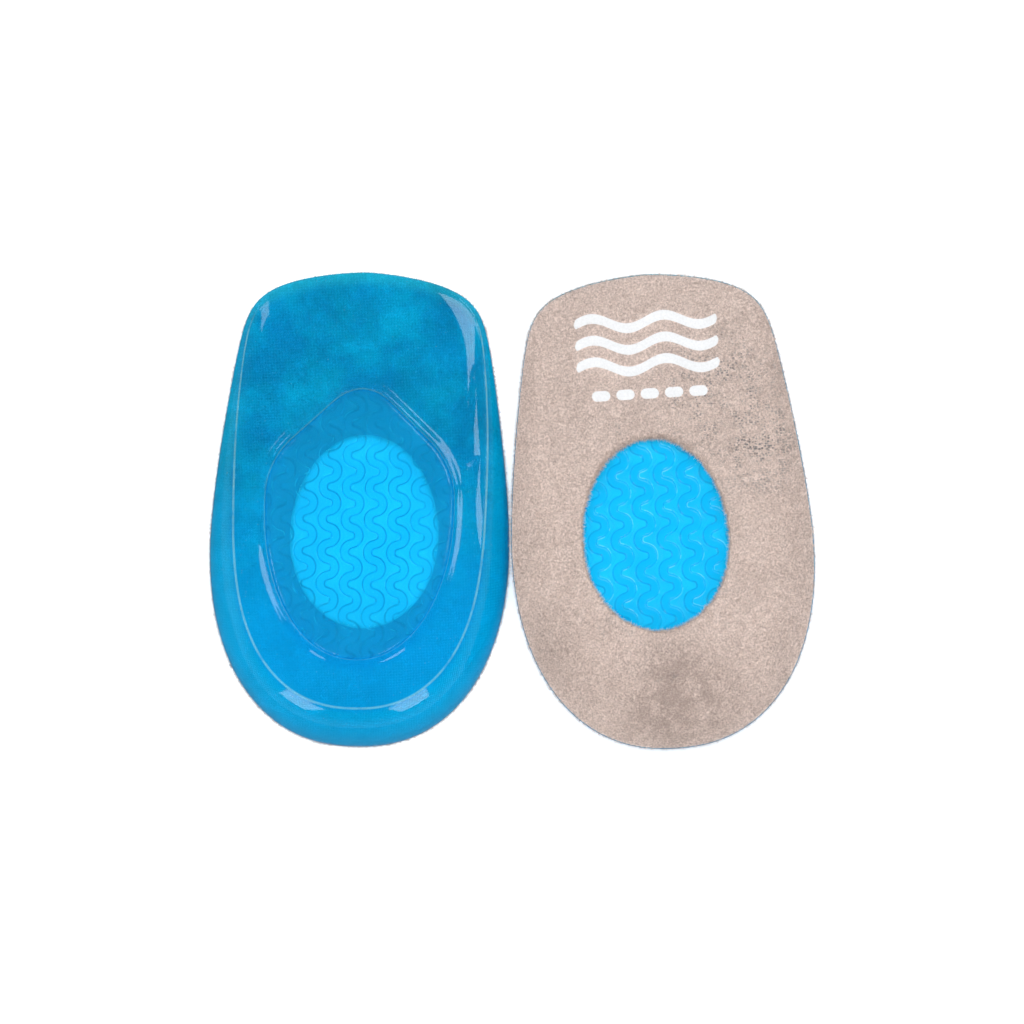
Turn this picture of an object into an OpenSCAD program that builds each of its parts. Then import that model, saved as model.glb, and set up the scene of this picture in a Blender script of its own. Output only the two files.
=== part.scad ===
// A pair of cupped gel heel cushions for shoes.
// Each cushion is a cupped gel body with a softer, wave-ribbed heel pad let
// into it, under a glued fabric cover that has an egg-shaped window over the
// pad. The right cushion lies cover up. The left one is turned over and rests
// on its rim. The toe edges point along +Y, and both stand on z = 0.
// One cushion is drawn with its heel at y = 0 and its underside at z = 0.

/* [Outline] */
// Length of one cushion from heel to toe edge
cushion_l = 108.4; // [100:0.2:120]
// Greatest width of one cushion
cushion_w = 69; // [64:0.2:74]
// Distance from the heel to the greatest width
wide_y = 46; // [42:1:50]
// Share of the width that is lost towards the toe edge
toe_taper = 0.26; // [0.15:0.01:0.3]

/* [Section] */
// Height of the rim at the heel
rim_heel = 15; // [13:0.5:18]
// Height of the rim at the toe edge
rim_toe = 2.2; // [2:0.1:3]
// Height of the cover's flat floor, carried on to the heel
floor_heel = 7.1; // [6:0.1:8]
// Height of the cover's flat floor at the toe edge
floor_toe = 2; // [1.8:0.05:2]
// Width of the upward curve between floor and rim at the heel
curve_heel = 14; // [12:0.5:15]
// Width of the upward curve between floor and rim at the toe edge
curve_toe = 3; // [2.5:0.5:4]
// Width of the outer side wall seen from below, at the heel
wall_heel = 7.9; // [6:0.1:9]
// Width of the outer side wall seen from below, at the toe edge
wall_toe = 0.8; // [0.5:0.1:1]
// Height of the thin outer edge under the rim
edge_h = 1.5; // [1.3:0.1:1.6]
// Width of the gel lip that frames the cover
lip_w = 0.4; // [0.3:0.1:0.6]

/* [Layers] */
// Thickness of the fabric cover
cover_t = 0.9; // [0.7:0.1:1]
// Thickness of the adhesive film under the cover
film_t = 0.15; // [0.1:0.05:0.2]
// Thickness of the printed mark
print_t = 0.1; // [0.05:0.05:0.2]

/* [Heel pad] */
// Recess of the pad's underside
pad_recess = 0.4; // [0.2:0.1:0.6]
// Half the greatest width of the shield-shaped pad
pad_half = 21.6; // [20:0.2:22]
// Distance from the heel to the pad's greatest width
pad_y = 54; // [50:1:56]
// Distance from the heel to the pad's round heel end
pad_aft_y = 19; // [19:1:24]
// Distance from the heel to the pad's blunt toe end
pad_fore_y = 81.3; // [78:0.1:83]
// Height of the wave ribs
rib_h = 0.7; // [0.4:0.1:1]
// Width of a wave rib
rib_w = 1.6; // [1.2:0.1:1.6]
// Distance between neighbouring ribs
rib_pitch = 5.3; // [5:0.1:6]
// Length of one wave
wave_l = 7.4; // [7:0.1:9]
// Height of the waves to each side of a rib's centre line
wave_a = 1.6; // [1:0.1:1.6]

/* [Window] */
// Half the width of the egg-shaped window
egg_half = 17; // [15:0.5:17.5]
// Distance from the heel to the window's widest place
egg_y = 47.2; // [46:0.2:49]
// Reach of the window towards the toe
egg_fore = 23.6; // [20:0.2:25]
// Reach of the window towards the heel
egg_aft = 20.8; // [18:0.2:21]
// Shift of the window off the middle line
egg_x = -1.2; // [-2:0.1:2]

/* [Pair] */
// Turn of the right cushion, toe inwards
right_turn = 3.4; // [0:0.1:3.5]
// Turn of the left cushion, toe inwards
left_turn = 1.5; // [0:0.1:3.5]
// Distance between the two cushions' middles
pair_pitch = 68.7; // [68.7:0.1:80]

/* [Hidden] */

half_w = cushion_w/2;
bond_t = cover_t + film_t;
floor_fall = (floor_heel - floor_toe)/cushion_l;
floor_angle = atan(floor_fall);
rim_fall = (rim_heel - rim_toe)/cushion_l;
rim_angle = atan(rim_fall);

// Roundness of the heel, of the toe taper and of the toe corners
heel_power = 2.26;
taper_power = 1.47;
corner_power = 17.7;
corner_sharp = 1.49;

// Underside shoulder: its width and its height at the heel and the toe edge
shoulder_heel = 5;
shoulder_toe = 2;
crease_heel = 1.2;
crease_toe = 0.35;
// How the side wall narrows from heel to toe
narrow_power = 1.5;
// How sharply the side wall and the cover curve upwards
wall_power = 1.3;
curve_power = 1.8;
// Places of the rings between the floor and the rim, as shares of the curve
curve_rings = [0.35, 0.7];

// Gap between the ribs' ends and the pad's side
rib_margin = 1.4;
wave_steps = 8;
// Place of one rib's centre line, and where that line crosses its own middle
wave_x = 1.6;
wave_y = 49.4;
// Shield-shaped pad: roundness of its heel end, the two sloping sides of its
// toe end, and the rounding of the shoulders and of the blunt tip
pad_power = 2.1;
slope_y = 84.5;
slope_run = 1.05;
shoulder_round = 6;
tip_round = 3;

// Printed mark: three waves over a row of rounded dashes
mark_x = -0.6;
mark_w = 33;
mark_y = 92.6;
mark_pitch = 5;
mark_stroke = 2.3;
mark_wave = 1.3;
dash_w = 4.2;
dash_h = 2.4;
dash_y = 81;
dash_count = 5;
dash_pitch = 5.6;

// Angles of the stations, closer together round the toe corners
side_angles = concat([for (a = [-84:6:36]) a], [for (a = [42:3:75]) a], [78, 84]);
stations = concat([-90], side_angles, [90], [for (i = [len(side_angles) - 1:-1:0]) 180 - side_angles[i]]);

// Curves, measured from the hub at the greatest width --------------------

function outline_half(y) =
    y < wide_y
    ? half_w*pow(1 - pow(1 - y/wide_y, heel_power), 1/heel_power)
    : let (s = (y - wide_y)/(cushion_l - wide_y))
      half_w*(1 - toe_taper*pow(s, taper_power))*pow(1 - pow(s, corner_power), 1/corner_sharp);

in_outline = function (p) p.y > 0 && p.y < cushion_l && abs(p.x) < outline_half(p.y);

in_egg = function (p)
    pow((p.x - egg_x)/egg_half, 2)
    + pow((p.y - egg_y)/(p.y > egg_y ? egg_fore : egg_aft), 2) < 1;

function pad_side(y) =
    let (t = max(0, pad_y - y)/(pad_y - pad_aft_y))
    pad_half*pow(max(0, 1 - pow(t, pad_power)), 1/pad_power);

// The greater of two distances, rounded where they are nearly equal
function round_max(a, b, r) = max(a, b) + pow(max(r - abs(a - b), 0), 2)/(4*r);

in_shield = function (p)
    let (
        side = abs(p.x) - pad_side(p.y),
        slope = (abs(p.x) - (slope_y - p.y)*slope_run)/norm([1, slope_run]),
        tip = p.y - pad_fore_y
    )
    p.y > pad_aft_y && round_max(round_max(side, slope, shoulder_round), tip, tip_round) < 0;

function at(a, r) = [r*cos(a), wide_y + r*sin(a)];

// Reach of a closed curve from the hub at angle a, found by halving
function reach(a, inside, low = 0, high = cushion_l, steps = 30) =
    let (middle = (low + high)/2)
    steps == 0 ? middle
    : inside(at(a, middle)) ? reach(a, inside, middle, high, steps - 1)
    : reach(a, inside, low, middle, steps - 1);

outline_r = [for (a = stations) reach(a, in_outline)];
shield_r = [for (a = stations) reach(a, in_shield)];
egg_r = [for (a = stations) reach(a, in_egg)];

// Heights -----------------------------------------------------------------

function mix(a, b, t) = a + (b - a)*t;
function along(heel, toe, y) = mix(heel, toe, y/cushion_l);
function floor_z(y) = along(floor_heel, floor_toe, y);
function rim_z(y) = along(rim_heel, rim_toe, y);

// Point of the cover's upper face at station k, u from floor (0) to lip (1)
function bowl_point(k, u) =
    let (
        a = stations[k],
        lip_r = outline_r[k] - lip_w,
        curve_w = along(curve_heel, curve_toe, at(a, outline_r[k]).y),
        p = at(a, lip_r - curve_w*(1 - u))
    )
    [p.x, p.y, mix(floor_z(p.y), rim_z(p.y), pow(u, curve_power))];

function floor_point(k, r) = let (p = at(stations[k], r[k])) [p.x, p.y, floor_z(p.y)];
function lowered(p, d) = [p.x, p.y, p.z - d];

// The cover's upper face at station k from the window, or from the pad's
// side, out to the lip
function covered(k, from_window) = concat(
    from_window ? [floor_point(k, egg_r)] : [],
    [floor_point(k, shield_r), bowl_point(k, 0)],
    [for (u = curve_rings) bowl_point(k, u)],
    [bowl_point(k, 1)]
);

function reversed(list) = [for (i = [len(list) - 1:-1:0]) list[i]];

// Layer between two depths under the cover's upper face, at station k
function layer(k, top, bottom) = concat(
    [for (p = covered(k, true)) lowered(p, bottom)],
    [for (p = reversed(covered(k, true))) lowered(p, top)]
);

// Underside of the cup at station k, from the pad's side out to the rim
function underside(k) =
    let (
        a = stations[k],
        edge = at(a, outline_r[k]),
        wall_w = mix(wall_heel, wall_toe, pow(max(0, edge.y)/cushion_l, narrow_power)),
        crease_r = outline_r[k] - wall_w,
        crease_z = along(crease_heel, crease_toe, edge.y),
        shoulder_w = along(shoulder_heel, shoulder_toe, edge.y),
        pocket = at(a, shield_r[k]),
        flat_end = at(a, crease_r - shoulder_w),
        shoulder = at(a, crease_r - shoulder_w/2),
        crease = at(a, crease_r),
        wall = at(a, crease_r + wall_w/2),
        edge_z = rim_z(edge.y) - edge_h
    )
    [
        [pocket.x, pocket.y, 0],
        [flat_end.x, flat_end.y, 0],
        [shoulder.x, shoulder.y, crease_z/4],
        [crease.x, crease.y, crease_z],
        [wall.x, wall.y, mix(crease_z, edge_z, pow(0.5, wall_power))],
        [edge.x, edge.y, edge_z],
        [edge.x, edge.y, rim_z(edge.y)],
    ];

function cup_section(k) = concat(
    underside(k),
    [bowl_point(k, 1)],
    [for (p = reversed(covered(k, false))) lowered(p, bond_t)]
);

// Closed ring through one section per station. The first 'under' rows of a
// section face down, and their quads are split the other way, so that
// bonded layers share their triangles.
module ring(sections, under) {
    n = len(sections);
    m = len(sections[0]);
    polyhedron(
        points = [for (s = sections, p = s) p],
        faces = [
            for (k = [0:n - 1], j = [0:m - 1])
                let (
                    next = (k + 1)%n,
                    a = k*m + j,
                    b = k*m + (j + 1)%m,
                    c = next*m + (j + 1)%m,
                    d = next*m + j
                )
                each (j < under ? [[a, d, b], [b, d, c]] : [[a, c, b], [a, d, c]])
        ],
        convexity = 6
    );
}

// Sub-parts of one cushion --------------------------------------------------

every = [0:len(stations) - 1];

module gel_cup()
    color([0.02, 0.55, 0.8, 0.8])
        ring([for (k = every) cup_section(k)], 7);

module adhesive_film()
    color([0.75, 0.85, 0.9, 0.6])
        ring([for (k = every) layer(k, cover_t, bond_t)], 5);

module top_cover()
    color([0.79, 0.7, 0.66])
        ring([for (k = every) layer(k, 0, cover_t)], 5);

// Wavy band along +Y between y0 and y1, as one outline
function wave_line(y) = wave_a*sin(360*(y - wave_y)/wave_l);
function wave_side(y) =
    let (lean = atan(wave_a*2*PI/wave_l*cos(360*(y - wave_y)/wave_l)))
    [cos(lean), -sin(lean)]*rib_w/2;
function wave_band(y0, y1) =
    let (
        count = round((y1 - y0)/wave_l*wave_steps),
        ys = [for (i = [0:count]) mix(y0, y1, i/count)]
    )
    concat(
        [for (y = ys) [wave_line(y), y] + wave_side(y)],
        [for (y = reversed(ys)) [wave_line(y), y] - wave_side(y)]
    );

// Places children on a plane that falls with the floor, 'depth' under it
module on_floor(depth)
    translate([0, 0, floor_heel - depth])
        rotate([-floor_angle, 0, 0])
            children();

module shield(inset = 0)
    polygon([for (k = every) at(stations[k], shield_r[k] - inset)]);

module heel_pad()
    color([0.08, 0.72, 0.95, 0.9]) {
        base_depth = bond_t + rib_h;
        columns = ceil(pad_half/rib_pitch);
        intersection() {
            translate([0, 0, pad_recess])
                linear_extrude(height = floor_heel)
                    shield();
            on_floor(base_depth + floor_heel)
                translate([-cushion_w/2, 0, 0])
                    cube([cushion_w, cushion_l, floor_heel]);
        }
        on_floor(base_depth)
            linear_extrude(height = rib_h)
                intersection() {
                    shield(rib_margin);
                    for (i = [-columns:columns - 1])
                        translate([wave_x + i*rib_pitch, 0])
                            polygon(wave_band(pad_aft_y, pad_fore_y));
                }
    }

function mark_line(x) = mark_wave*sin(360*x/mark_w*2);

module mark_stripe()
    polygon(concat(
        [for (i = [0:24]) let (x = mark_w*(i/24 - 0.5)) [x, mark_line(x) - mark_stroke/2]],
        [for (i = [24:-1:0]) let (x = mark_w*(i/24 - 0.5)) [x, mark_line(x) + mark_stroke/2]]
    ));

module dash()
    polygon([
        for (i = [0:15])
            let (a = -90 + 180*(i%8)/7 + (i < 8 ? 0 : 180), side = i < 8 ? 1 : -1)
            [side*(dash_w - dash_h)/2 + dash_h/2*cos(a), dash_h/2*sin(a)]
    ]);

module printed_mark()
    color([0.96, 0.96, 0.95])
        on_floor(0)
            linear_extrude(height = print_t) {
                for (i = [-1:1])
                    translate([mark_x, mark_y + i*mark_pitch])
                        mark_stripe();
                for (i = [0:dash_count - 1])
                    translate([mark_x + (i - (dash_count - 1)/2)*dash_pitch, dash_y])
                        dash();
            }

// The pair --------------------------------------------------------------------

function turned(p, a) = [p.x*cos(a) - p.y*sin(a), p.x*sin(a) + p.y*cos(a)];

// The turned-over cushion lies along its rim, so it reaches a little further
// than the one that lies flat
over_heel = rim_heel*sin(rim_angle);
over_toe = cushion_l*cos(rim_angle) - (rim_toe - edge_h)*sin(rim_angle);
over_middle = (over_toe - over_heel)/2;

// Outer edges of both cushions in plan, before the pair is centred
right_edge = [
    for (k = every)
        [pair_pitch/2, 0] + turned(at(stations[k], outline_r[k]) - [0, cushion_l/2], right_turn)
];
left_edge = [
    for (k = every, h = [0, edge_h])
        let (
            p = at(stations[k], outline_r[k]),
            along_rim = p.y*cos(rim_angle) - (rim_z(p.y) - h)*sin(rim_angle)
        )
        [-pair_pitch/2, 0] + turned([-p.x, along_rim - over_middle], -left_turn)
];
edges = concat(right_edge, left_edge);
middle_x = (min([for (p = edges) p.x]) + max([for (p = edges) p.x]))/2;
middle_y = (min([for (p = edges) p.y]) + max([for (p = edges) p.y]))/2;

// Right cushion, cover up
module cover_up()
    translate([pair_pitch/2 - middle_x, -middle_y, 0])
        rotate([0, 0, right_turn])
            translate([0, -cushion_l/2, 0])
                children();

// Left cushion, turned over on to its rim
module turned_over()
    translate([-pair_pitch/2 - middle_x, -middle_y, 0])
        rotate([0, 0, -left_turn])
            translate([0, -over_middle, rim_heel*cos(rim_angle)])
                rotate([-rim_angle, 0, 0])
                    rotate([0, 180, 0])
                        children();

cover_up() gel_cup();  // right_gel_cup
cover_up() heel_pad();  // right_heel_pad
cover_up() adhesive_film();  // right_adhesive_film
cover_up() top_cover();  // right_top_cover
cover_up() printed_mark();  // right_printed_mark
turned_over() gel_cup();  // left_gel_cup
turned_over() heel_pad();  // left_heel_pad
turned_over() adhesive_film();  // left_adhesive_film
turned_over() top_cover();  // left_top_cover
turned_over() printed_mark();  // left_printed_mark
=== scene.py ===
"""A pair of cupped gel heel insoles: the right one lies cover up, the left one is turned over.

Each insole is worked out in its own maker's drawing, in millimetres: x across, y from the heel
to the toe edge, z up from the flat underside. It is then laid where its CAD solid lies.
"""

import math

import bmesh
import bpy
import numpy as np
from mathutils import Matrix, Vector


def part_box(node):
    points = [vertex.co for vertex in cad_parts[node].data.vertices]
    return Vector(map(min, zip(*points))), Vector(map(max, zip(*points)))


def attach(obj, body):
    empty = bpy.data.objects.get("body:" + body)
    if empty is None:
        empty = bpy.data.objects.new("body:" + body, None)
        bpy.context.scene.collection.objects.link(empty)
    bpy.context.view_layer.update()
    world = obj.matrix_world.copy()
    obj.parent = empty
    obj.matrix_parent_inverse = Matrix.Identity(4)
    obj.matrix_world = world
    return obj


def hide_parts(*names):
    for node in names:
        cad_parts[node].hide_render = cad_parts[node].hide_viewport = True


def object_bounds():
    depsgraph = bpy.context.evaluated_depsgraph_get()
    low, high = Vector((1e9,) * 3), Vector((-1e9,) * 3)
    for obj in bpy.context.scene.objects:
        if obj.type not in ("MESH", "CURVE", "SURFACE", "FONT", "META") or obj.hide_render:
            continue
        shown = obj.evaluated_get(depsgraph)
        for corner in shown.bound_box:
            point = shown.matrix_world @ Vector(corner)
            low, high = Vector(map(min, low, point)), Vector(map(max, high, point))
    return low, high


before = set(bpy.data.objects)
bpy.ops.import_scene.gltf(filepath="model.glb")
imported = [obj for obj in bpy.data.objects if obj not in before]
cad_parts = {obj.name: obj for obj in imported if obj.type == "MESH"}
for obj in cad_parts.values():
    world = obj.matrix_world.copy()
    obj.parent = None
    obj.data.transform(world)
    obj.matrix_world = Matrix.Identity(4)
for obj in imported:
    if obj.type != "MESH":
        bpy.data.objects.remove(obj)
cad_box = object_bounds()

MM = 0.001

# One insole, as drawn ---------------------------------------------------------

LENGTH, WIDTH, WIDE_Y = 108.4, 69.0, 46.0
TOE_TAPER, HEEL_POWER, TAPER_POWER = 0.26, 2.26, 1.47
CORNER_POWER, CORNER_SHARP = 17.7, 1.49
RIM_HEEL, RIM_TOE = 15.0, 2.2
FLOOR_HEEL, FLOOR_TOE = 7.1, 2.0
CURVE_HEEL, CURVE_TOE, CURVE_POWER = 14.0, 3.0, 1.8
WALL_HEEL, WALL_TOE, NARROW_POWER = 7.9, 0.8, 1.5
EDGE_H, LIP_W = 1.5, 0.16
COVER_T, FILM_T = 0.9, 0.15
BOND_T = COVER_T + FILM_T

PAD_HALF, PAD_WIDE_Y, PAD_AFT_Y, PAD_FORE_Y = 21.6, 54.0, 19.0, 81.3
PAD_POWER, PAD_SLOPE_Y, PAD_SLOPE_RUN = 2.1, 84.5, 1.05
SHOULDER_ROUND, TIP_ROUND, PAD_RECESS = 6.0, 3.0, 0.4
RIB_PITCH, WAVE_L, WAVE_A = 5.3, 7.4, 1.6
WAVE_X, WAVE_Y = 1.6, 49.4

EGG_X, EGG_Y, EGG_HALF, EGG_FORE, EGG_AFT = -1.2, 47.2, 17.0, 23.6, 20.8

RIGHT_TURN, LEFT_TURN = math.radians(3.4), math.radians(-1.5)
RIM_ANGLE = math.atan((RIM_HEEL - RIM_TOE) / LENGTH)


def half_width(y):
    """Half the outline's width at y."""
    heel = np.maximum(0, 1 - y / WIDE_Y) ** HEEL_POWER
    toe = np.clip((y - WIDE_Y) / (LENGTH - WIDE_Y), 0, 1)
    aft = np.maximum(0, 1 - heel) ** (1 / HEEL_POWER)
    fore = (1 - TOE_TAPER * toe**TAPER_POWER) * (1 - toe**CORNER_POWER) ** (1 / CORNER_SHARP)
    return WIDTH / 2 * np.where(y < WIDE_Y, aft, fore)


def in_outline(x, y):
    return (y > 0) & (y < LENGTH) & (np.abs(x) < half_width(y))


def round_max(a, b, r):
    """The greater of two distances, rounded where they are nearly equal."""
    return np.maximum(a, b) + np.maximum(r - np.abs(a - b), 0) ** 2 / (4 * r)


def pad_distance(x, y):
    """Below zero inside the shield-shaped pad."""
    t = np.maximum(0, PAD_WIDE_Y - y) / (PAD_WIDE_Y - PAD_AFT_Y)
    half = PAD_HALF * np.maximum(0, 1 - t**PAD_POWER) ** (1 / PAD_POWER)
    slope = (np.abs(x) - (PAD_SLOPE_Y - y) * PAD_SLOPE_RUN) / math.hypot(1, PAD_SLOPE_RUN)
    return round_max(round_max(np.abs(x) - half, slope, SHOULDER_ROUND), y - PAD_FORE_Y, TIP_ROUND)


def in_pad(x, y):
    return (y > PAD_AFT_Y) & (pad_distance(x, y) < 0)


def egg_distance(x, y):
    """Roughly the distance from the egg-shaped window's edge, below zero inside it."""
    long = np.where(y > EGG_Y, EGG_FORE, EGG_AFT)
    return (np.hypot((x - EGG_X) / EGG_HALF, (y - EGG_Y) / long) - 1) * EGG_HALF


def in_egg(x, y):
    return egg_distance(x, y) < 0


def reach(angles, inside):
    """How far a closed curve lies from the hub, the middle of the widest line."""
    low, high = np.zeros_like(angles), np.full_like(angles, LENGTH)
    for _ in range(40):
        middle = (low + high) / 2
        within = inside(middle * np.cos(angles), WIDE_Y + middle * np.sin(angles))
        low, high = np.where(within, middle, low), np.where(within, high, middle)
    return (low + high) / 2


def stations(count):
    """Angles about the hub, spread evenly along the outline."""
    fine = np.linspace(-math.pi / 2, 1.5 * math.pi, 6001)
    r = reach(fine, in_outline)
    step = np.hypot(np.diff(r * np.cos(fine)), np.diff(r * np.sin(fine)))
    run = np.concatenate([[0], np.cumsum(step)])
    return np.interp(np.linspace(0, run[-1], count + 1)[:-1], run, fine)


def along(heel, toe, y):
    return heel + (toe - heel) * y / LENGTH


ANGLES = stations(520)
OUTLINE, PAD, EGG = (reach(ANGLES, shape) for shape in (in_outline, in_pad, in_egg))
EDGE_Y = WIDE_Y + OUTLINE * np.sin(ANGLES)


def put(r, z):
    """One row of points, one for each station, at distances r and heights z."""
    r = r + 0 * ANGLES
    x, y = r * np.cos(ANGLES), WIDE_Y + r * np.sin(ANGLES)
    return np.stack([x, y, (z(y) if callable(z) else z) + 0 * x], -1)


def floor_z(y):
    return along(FLOOR_HEEL, FLOOR_TOE, y)


def rim_z(y):
    return along(RIM_HEEL, RIM_TOE, y)


def bowl(u, depth=0.0, lip_in=LIP_W):
    """A row of the cover's upper face, from its flat floor (0) to the lip (1), 'depth' lower."""
    r = OUTLINE - lip_in - along(CURVE_HEEL, CURVE_TOE, EDGE_Y) * (1 - u)
    return put(r, lambda y: floor_z(y) + (rim_z(y) - floor_z(y)) * u**CURVE_POWER - depth)


def flat(share, start, depth=0.0):
    """A row of the flat floor, from the curve 'start' (0) out to where the bowl begins (1)."""
    end = OUTLINE - LIP_W - along(CURVE_HEEL, CURVE_TOE, EDGE_Y)
    return put(start + (end - start) * share, lambda y: floor_z(y) - depth)


def place_of(side):
    """Takes drawn points to where that insole lies, as its CAD solid does."""
    lowest, highest = (np.array(c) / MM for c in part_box(f"{side}_gel_cup"))
    if side == "right":
        turn = Matrix.Rotation(RIGHT_TURN, 4, "Z")
    else:
        over = Matrix.Rotation(-RIM_ANGLE, 4, "X") @ Matrix.Rotation(math.pi, 4, "Y")
        turn = Matrix.Rotation(LEFT_TURN, 4, "Z") @ over
    turn = np.array(turn)[:3, :3]
    rim = np.concatenate([put(OUTLINE, rim_z), put(OUTLINE, lambda y: rim_z(y) - EDGE_H)])
    seen = np.concatenate([rim, put(PAD, 0.0)]) @ turn.T
    middle = (seen.min(0) + seen.max(0)) / 2
    shift = (lowest + highest) / 2 - middle
    shift[2] = lowest[2] - seen[:, 2].min()
    return lambda points: (np.asarray(points, float) @ turn.T + shift) * MM


LAY = {side: place_of(side) for side in ("right", "left")}
BODY = {"right": "right_insole", "left": "left_insole"}


# Mesh building --------------------------------------------------------------------


def new_piece(name, side, points, faces, smooth=True, **facts):
    """A mesh object laid in place. It remembers where each point was drawn, in centimetres."""
    mesh = bpy.data.meshes.new(name)
    mesh.from_pydata(LAY[side](points).tolist(), [], [list(map(int, f)) for f in faces])
    mesh.validate()
    drawn = mesh.attributes.new("drawn", "FLOAT_VECTOR", "POINT")
    drawn.data.foreach_set("vector", (np.asarray(points) / 10).astype(np.float32).ravel())
    for key, values in facts.items():
        fact = mesh.attributes.new(key, "FLOAT", "POINT")
        fact.data.foreach_set("value", np.asarray(values, np.float32).ravel())
    outward(mesh)
    mesh.polygons.foreach_set("use_smooth", [smooth] * len(mesh.polygons))
    piece = bpy.data.objects.new(name, mesh)
    bpy.context.scene.collection.objects.link(piece)
    return piece


def outward(mesh):
    shell = bmesh.new()
    shell.from_mesh(mesh)
    bmesh.ops.recalc_face_normals(shell, faces=shell.faces)
    shell.to_mesh(mesh)
    shell.free()
    mesh.update()


def ring_faces(n, m):
    """Quads of a closed ring of n sections with m points each."""
    k, j = np.meshgrid(np.arange(n), np.arange(m), indexing="ij")
    nk, nj = (k + 1) % n, (j + 1) % m
    return np.stack([k * m + j, k * m + nj, nk * m + nj, nk * m + j], -1).reshape(-1, 4)


def ring_piece(name, side, rows, **facts):
    """A closed ring whose section runs through the rows."""
    sections = np.stack(rows, 1)
    n, m = sections.shape[:2]
    facts = {key: np.broadcast_to(value, (n, m)) for key, value in facts.items()}
    return new_piece(name, side, sections.reshape(-1, 3), ring_faces(n, m), **facts)


def ease(t):
    t = np.clip(t, 0, 1)
    return t * t * (3 - 2 * t)


# Gel cup ------------------------------------------------------------------------------

POCKET_GAP = 0.03
LIP_ROUND, LIP_RISE, RIDGE_W, RIDGE_H = 0.35, 0.6, 2.2, 0.42
CREASE_Z, CREASE_HEEL_Z = 1.25, 0.35
WALL_START, WALL_STEEPER, WALL_BEND = 0.27, 0.35, 0.8
BEAD_W, BEAD_H = 0.3, 0.12
EDGE_ROUND = 0.12
IN_COVER = 0.8
CREASE_SHARE, SHOULDER_HEEL, SHOULDER_FORE, SHOULDER_TOE = 0.42, 5.0, 2.8, 2.5
CREASE_STEP, POCKET_FLAT, WALL_TURN = 0.02, 0.3, 14


def wall_width(y):
    """The plan width of the side wall, from the crease to the rim."""
    return WALL_HEEL + (WALL_TOE - WALL_HEEL) * (np.clip(y, 0, None) / LENGTH) ** NARROW_POWER


def gel_cup_rows():
    """The section's rows: pocket, border, underside, shoulder, bead, wall, lip and bowl."""
    wall_w = wall_width(EDGE_Y)
    edge_z = rim_z(EDGE_Y) - EDGE_H
    crease_r = OUTLINE - wall_w
    fore = ease((EDGE_Y - 36) / 42)
    crease_z = CREASE_HEEL_Z + (CREASE_Z - CREASE_HEEL_Z) * fore
    crease_z = np.minimum(crease_z, CREASE_SHARE * edge_z)
    shoulder_w = SHOULDER_HEEL + SHOULDER_FORE * fore - SHOULDER_TOE * ease((EDGE_Y - 100) / 9)
    flat_end = np.maximum(crease_r - shoulder_w, PAD + LIP_ROUND + RIDGE_W + POCKET_FLAT)
    shoulder_w = crease_r - flat_end
    rows = []
    for t in np.linspace(0, 1, 5):
        top = floor_z(put(PAD, 0.0)[:, 1]) - IN_COVER
        rows.append(put(PAD + POCKET_GAP, top + (LIP_RISE - top) * t))
    for t in np.linspace(0, math.pi / 2, 7)[1:]:
        r = PAD + POCKET_GAP + LIP_ROUND * (1 - math.cos(t))
        rows.append(put(r, LIP_RISE * (1 - math.sin(t)) - RIDGE_H))
    ridge_from = PAD + POCKET_GAP + LIP_ROUND
    for t in np.linspace(0, 1, 11)[1:]:
        rows.append(put(ridge_from + RIDGE_W * t, -RIDGE_H * 0.5 * (1 + math.cos(math.pi * t))))
    start = ridge_from + RIDGE_W
    for t in (0.33, 0.67, 1.0):
        rows.append(put(start + (flat_end - start) * t, 0.0))
    for t in np.linspace(0, 1, 15)[1:-1]:
        rows.append(put(flat_end + (shoulder_w - BEAD_W) * t, crease_z * t**2))
    bead_h = BEAD_H * (1 - ease((EDGE_Y - 96) / 6))
    for t in np.linspace(-1, 1, 9):
        bead = bead_h * 0.5 * (1 + math.cos(math.pi * t))
        rows.append(put(crease_r + BEAD_W * t, crease_z - bead + CREASE_STEP * max(t, 0)))
    rise = edge_z - crease_z
    start_slope = WALL_START + WALL_STEEPER * ease((EDGE_Y - 8) / 20)
    first = np.minimum(start_slope * wall_w / rise, 0.5)
    wall_from = crease_r + BEAD_W
    for t in np.linspace(0, 1, 25)[1:-1]:
        curve = first * t + (WALL_BEND - first) * t**3 + (1 - WALL_BEND) * t**WALL_TURN
        r = wall_from + (OUTLINE - wall_from) * t
        rows.append(put(r, crease_z + CREASE_STEP + rise * curve))
    for t in (0.0, 0.35, 0.65, 1.0):
        rows.append(put(OUTLINE - 0.06 * (1 - t), edge_z + 0.1 + (EDGE_H - 0.1 - EDGE_ROUND) * t))
    lip_z = rim_z(EDGE_Y)
    for t in np.linspace(0, math.pi / 2, 6)[1:]:
        r = OUTLINE - EDGE_ROUND * (1 - math.cos(t))
        rows.append(put(r, lip_z - EDGE_ROUND * (1 - math.sin(t))))
    rows.append(put(OUTLINE - LIP_W + 0.02, lambda y: rim_z(y) - 0.3))
    for u in np.linspace(1, 0, 22):
        rows.append(bowl(u, IN_COVER))
    for t in np.linspace(1, 0, 5)[1:-1]:
        rows.append(flat(t, PAD + POCKET_GAP, IN_COVER))
    return rows


def gel_cup(side):
    """The cup, storing how far each point lies inside the rim and beyond the crease and pocket."""
    rows = gel_cup_rows()
    far = np.stack([np.hypot(r[:, 0], r[:, 1] - WIDE_Y) for r in rows], 1)
    crease_r = OUTLINE - wall_width(EDGE_Y)
    return ring_piece(
        f"{side}_gel_cup_moulding", side, rows, inset=OUTLINE[:, None] - far,
        crease=far - crease_r[:, None], beyond_pocket=far - PAD[:, None],
    )


# Heel pad -----------------------------------------------------------------------------

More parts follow.
